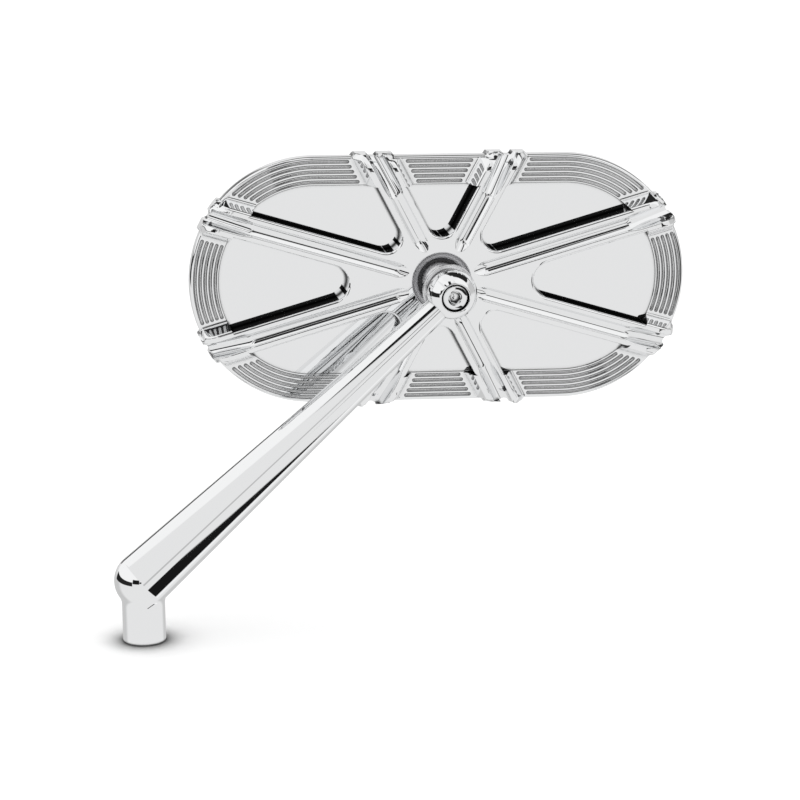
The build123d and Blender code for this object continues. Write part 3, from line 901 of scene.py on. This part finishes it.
def turnedLines(tree, place, centre, lines):
    # tool marks round the stud's axis
    centred = tree.nodes.new("ShaderNodeMapping")
    centred.inputs["Location"].default_value = -centre
    tree.links.new(place, centred.inputs["Vector"])
    wave = tree.nodes.new("ShaderNodeTexWave")
    wave.bands_direction = "Y"
    wave.inputs["Scale"].default_value = lines
    wave.inputs["Distortion"].default_value = 1.5
    wave.inputs["Detail"].default_value = 2
    tree.links.new(centred.outputs["Vector"], wave.inputs["Vector"])
    return wave.outputs["Fac"]


def makeSatin(name, color, rough, lines):
    material, tree, shader, place = startMaterial(name, color, 1, rough)
    finish = addGroup(tree, buffedFinish, Place=place, Rough=rough, Haze=0.08, Smears=0.05, Size=400)
    tree.links.new(finish.outputs["Roughness"], shader.inputs["Roughness"])
    addBump(tree, shader, turnedLines(tree, place, ballCentre, lines), 0.12, 0.00003)
    return material


def makeGrained(name, dark, light, metallic, rough, size, bump):
    material, tree, shader, place = startMaterial(name, light, metallic, rough)
    grain = addGroup(tree, fineGrain, Place=place, Size=size, Dark=(*dark, 1), Light=(*light, 1))
    tree.links.new(grain.outputs["Tone"], shader.inputs["Base Color"])
    addBump(tree, shader, grain.outputs["Height"], bump, 0.00005)
    return material


def makeSilvering():
    material, tree, shader, place = startMaterial("silveredGlass", (0.9, 0.92, 0.925), 1, 0.01)
    finish = addGroup(tree, buffedFinish, Place=place, Rough=0.004, Haze=0.004, Smears=0.02, Size=30)
    tree.links.new(finish.outputs["Roughness"], shader.inputs["Roughness"])
    shader.inputs["Coat Weight"].default_value = 1
    shader.inputs["Coat Roughness"].default_value = 0.0
    return material


brightChrome = makeChrome()
satinSteel = makeSatin("satinSteel", (0.83, 0.83, 0.84), 0.26, 900)
satinDish = makeSatin("satinDish", (0.62, 0.62, 0.63), 0.26, 700)
zincSteel = makeGrained("zincSteel", (0.42, 0.42, 0.44), (0.6, 0.6, 0.6), 1, 0.38, 1400, 0.1)
linerPlastic = makeGrained("linerPlastic", (0.02, 0.02, 0.022), (0.045, 0.045, 0.048), 0, 0.42, 2200, 0.15)
foamTape = makeGrained("foamTape", (0.015, 0.015, 0.015), (0.04, 0.04, 0.04), 0, 0.85, 1800, 0.5)
silveredGlass = makeSilvering()
edgeGlass = makeGrained("glassEdge", (0.05, 0.14, 0.12), (0.12, 0.26, 0.22), 0, 0.12, 300, 0.02)
print("finishes mixed")


def dress(piece, *finishes):
    piece.data.materials.clear()
    for finish in finishes:
        piece.data.materials.append(finish)


def paintFaces(piece, index, wanted):
    pick(piece, "FACE", wanted)
    piece.active_material_index = index
    bpy.ops.object.material_slot_assign()
    bpy.ops.object.mode_set(mode="OBJECT")


toHead = headPlace.inverted()


def inDish(face):
    place = toHead @ face.calc_center_median()
    near = math.hypot(place.x, place.y) < ballSeat["satinEdge"]
    return near and ballSeat["satinFoot"] < place.z < ballSeat["satinTop"]


dress(housing, brightChrome, satinDish)
paintFaces(housing, 1, inDish)
dress(stem, brightChrome)
dress(clampScrew, brightChrome)
dress(ballStud, satinSteel)
dress(ballLiner, linerPlastic)
dress(mirrorGlass, edgeGlass, silveredGlass)
paintFaces(mirrorGlass, 1, lambda face: abs(face.normal.dot(headBack)) > 0.9)

for piece, body, node, slot in (
    (housing, "head", "housing", "bright_chrome"),
    (stem, "stem", "stem", "bright_chrome"),
    (clampScrew, "stem", "clamp_screw", "bright_chrome"),
    (ballStud, "stud", "ball_stud", "satin_steel"),
    (ballLiner, "liner", "ball_liner_rear", "liner_plastic"),
    (mirrorGlass, "head", "mirror_glass", "silvered_glass"),
):
    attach(piece, body)
    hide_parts(node)

for node, finish in (
    ("lock_washer", zincSteel), ("disc_spring", zincSteel), ("retainer_plate", zincSteel),
    ("retainer_screws", zincSteel), ("ball_liner_front", linerPlastic),
    ("pressure_ring", linerPlastic), ("adhesive_pad", foamTape),
):
    dress(frame["nodes"][node], finish)
print("pieces dressed and set on their bodies")


studio = {
    "base": 0.86, "open": 1.0, "armTurn": 40.55,
    # across and its half, up and its half, turn, softness, all in degrees, then brightness
    "room": [
        (0, 180, 75, 20, 0, 8, 0.95),  # ceiling
        (180, 78, -30, 42, 0, 26, 0.62),  # floor behind
        (100, 40, 10, 20, 0, 9, 0.6),  # wall, right
        (118, 7, 14, 24, 0, 1.5, 0.03),  # tall flag, right
        (43, 27, 41, 23, 0, 1.5, 1.0),  # softbox, front right
        (3.5, 11.5, 21.5, 8.5, 0, 1.2, 0.01),  # flag above the lens
        (6.5, 9.5, 9, 4.5, 0, 1, 0.01),  # flag right of the lens
        (-35.5, 14.5, 9, 9, 0, 1.5, 0.01),  # flag left of the lens
        (-17, 4.5, 7, 3.5, 0, 1, 0.01),  # its near end
        (30, 18.5, -6.5, 6.5, 0, 1, 0.02),  # low flag, front right
        (-95, 45, -1, 8, 0, 1, 0.02),  # low bar, left
        (135, 63, 58, 26, 0, 2, 0.02),  # high flag, right
    ],
    # the same, measured round the arm: across is the angle about its axis, up runs along it
    "arm": [
        (95, 60, -26, 20, 0, 1, 1.0),  # softbox, left
        (98.9, 58, 14.2, 17.5, -6.3, 0.6, 1.0),  # softbox, rear left
        (166, 10, 0, 12, 0, 2, 0.02),  # rear flag
        (-84, 5, 0, 6, 0, 1.5, 1.0),  # low strip light
        (38, 20, 4.9, 2.5, -5, 0.5, 0.01),  # gap between the softboxes
        (45, 17, 21, 5.5, 14, 1.5, 0.02),  # upper gap
        (-50, 25, -3.4, 2.7, -2.35, 0.4, 0.01),  # low flag along the arm
        (0.8, 4, -2, 4.5, 0, 1.5, 0.55),  # seam of the room
    ],
}


panelInputs = ("Azimuth", "Elevation", "Behind", "Across", "Half Width", "Up", "Half Height", "Turn", "Soft", "Bright")


def makePanelGroup():
    group, given, result = socketGroup(
        "studioPanel", [(label, "NodeSocketFloat") for label in panelInputs], [("Light", "NodeSocketFloat")])
    values = given.outputs
    offAcross = mathNode(group, "WRAP", mathNode(group, "SUBTRACT", values["Azimuth"], values["Across"]), 180, -180)
    offUp = mathNode(group, "SUBTRACT", values["Elevation"], values["Up"])
    turn = mathNode(group, "MULTIPLY", values["Turn"], math.pi / 180)
    over, rise = mathNode(group, "COSINE", turn), mathNode(group, "SINE", turn)
    along = mathNode(group, "MULTIPLY_ADD", offAcross, over, mathNode(group, "MULTIPLY", offUp, rise))
    aside = mathNode(group, "SUBTRACT", mathNode(group, "MULTIPLY", offUp, over),
                     mathNode(group, "MULTIPLY", offAcross, rise))
    masks = []
    for off, half in ((along, values["Half Width"]), (aside, values["Half Height"])):
        inner = mathNode(group, "SUBTRACT", half, values["Soft"])
        masks.append(rangeNode(group, mathNode(group, "ABSOLUTE", off), inner, half, 1.0, 0.0))
    mask = mathNode(group, "MULTIPLY", *masks)
    change = mathNode(group, "SUBTRACT", values["Bright"], values["Behind"])
    group.links.new(mathNode(group, "MULTIPLY_ADD", mask, change, values["Behind"]), result.inputs["Light"])
    return group


def anglesOf(tree, over, front, up):
    degree = 180 / math.pi
    azimuth = mathNode(tree, "MULTIPLY", mathNode(tree, "ARCTAN2", over, front), degree)
    return azimuth, mathNode(tree, "MULTIPLY", mathNode(tree, "ARCSINE", up), degree)


def makeStudioLight():
    world = bpy.data.worlds.new("studioLight")
    bpy.context.scene.world = world
    world.use_nodes = True
    tree = world.node_tree
    back = tree.nodes["Background"]
    panel = makePanelGroup()
    way = tree.nodes.new("ShaderNodeSeparateXYZ")
    tree.links.new(tree.nodes.new("ShaderNodeTexCoord").outputs["Generated"], way.inputs["Vector"])
    side, rise = way.outputs["X"], way.outputs["Z"]
    front = mathNode(tree, "MULTIPLY", way.outputs["Y"], -1)
    cosine, sine = (turn(math.radians(studio["armTurn"])) for turn in (math.cos, math.sin))
    alongArm = mathNode(tree, "MULTIPLY_ADD", side, cosine, mathNode(tree, "MULTIPLY", rise, sine))
    aboveArm = mathNode(tree, "MULTIPLY_ADD", side, -sine, mathNode(tree, "MULTIPLY", rise, cosine))
    light = studio["base"]
    for label, angles in (("arm", anglesOf(tree, aboveArm, front, alongArm)),
                          ("room", anglesOf(tree, side, front, rise))):
        for row in studio[label]:
            values = dict(zip(panelInputs, (*angles, light, *row)))
            light = addGroup(tree, panel, **values).outputs["Light"]
    # the camera and plain surfaces see an even white room, the bright metal sees the panels
    rays = tree.nodes.new("ShaderNodeLightPath")
    plain = mathNode(tree, "MAXIMUM", rays.outputs["Is Camera Ray"], rays.outputs["Is Diffuse Ray"])
    mix = tree.nodes.new("ShaderNodeMix")
    for label, value in (("Factor", plain), ("A", light), ("B", studio["open"])):
        feed(tree, mix.inputs[label], value)
    tree.links.new(mix.outputs["Result"], back.inputs["Color"])
    back.inputs["Strength"].default_value = 1


floorShape = {"radius": 1.2, "place": (0.07, 0, -0.00005), "color": (0.97, 0.97, 0.97), "lift": 0.1}


def makeFloor():
    startFresh()
    bpy.ops.mesh.primitive_circle_add(vertices=96, radius=floorShape["radius"], fill_type="NGON",
                                      location=floorShape["place"])
    floor = applied(named("floor"))
    material, tree, shader, _ = startMaterial("paleFloor", floorShape["color"], 0, 0.7)
    # painted contact shadow: the floor's colour, and its glow for the camera, darkens where the stub stands on it
    shade = addGroup(tree, recessShade, Color=(*floorShape["color"], 1), Reach=0.014, Low=0.5, High=0.97, Dark=0.06)
    tree.links.new(shade.outputs["Tone"], shader.inputs["Base Color"])
    tree.links.new(shade.outputs["Tone"], shader.inputs["Emission Color"])
    rays = tree.nodes.new("ShaderNodeLightPath")
    tree.links.new(mathNode(tree, "MULTIPLY", rays.outputs["Is Camera Ray"], floorShape["lift"]),
                   shader.inputs["Emission Strength"])
    clear = tree.nodes.new("ShaderNodeBsdfTransparent")
    under = tree.nodes.new("ShaderNodeMixShader")
    tree.links.new(tree.nodes.new("ShaderNodeNewGeometry").outputs["Backfacing"], under.inputs["Fac"])
    tree.links.new(shader.outputs["BSDF"], under.inputs[1])
    tree.links.new(clear.outputs["BSDF"], under.inputs[2])
    tree.links.new(under.outputs["Shader"], tree.nodes["Material Output"].inputs["Surface"])
    dress(floor, material)
    floor.visible_glossy = False


lampShape = {"place": (0.05, -0.05, 1.0), "aim": (0.05, 0.0, 0.05), "size": 1.4, "watts": 2.0}


def makeLamp():
    startFresh()
    bpy.ops.object.light_add(type="AREA", location=lampShape["place"])
    lamp = bpy.context.object
    lamp.data.size = lampShape["size"]
    lamp.data.energy = lampShape["watts"]
    lamp.rotation_euler = (Vector(lampShape["place"]) - Vector(lampShape["aim"])).to_track_quat("Z", "Y").to_euler()
    lamp.visible_glossy = False


view = {"azimuth": -11.2, "elevation": 16.28, "roll": -0.92, "distance": 1.16,
        "aim": (0.045, 0.005, 0.065), "side": 0.031, "up": 0.00159,
        "sensor": 36, "pixels": 800, "pixelsPerMm": 3.5066}


def makeCamera():
    across, tilt, roll = (math.radians(view[label]) for label in ("azimuth", "elevation", "roll"))
    out = Vector((math.sin(across) * math.cos(tilt), -math.cos(across) * math.cos(tilt), math.sin(tilt)))
    side = Vector((math.cos(across), math.sin(across), 0))
    up = out.cross(side)
    side, up = side * math.cos(roll) + up * math.sin(roll), up * math.cos(roll) - side * math.sin(roll)
    place = Vector(view["aim"]) + side * view["side"] + up * view["up"] + out * view["distance"]
    startFresh()
    bpy.ops.object.camera_add()
    camera = bpy.context.object
    camera.matrix_world = Matrix.Translation(place) @ Matrix((side, up, out)).transposed().to_4x4()
    camera.data.sensor_width = view["sensor"]
    camera.data.lens = view["pixelsPerMm"] * view["distance"] * 1000 * view["sensor"] / view["pixels"]
    bpy.context.scene.camera = camera


makeStudioLight()
makeFloor()
makeLamp()
makeCamera()
bpy.context.scene.view_settings.view_transform = "Standard"
print("studio and camera set")
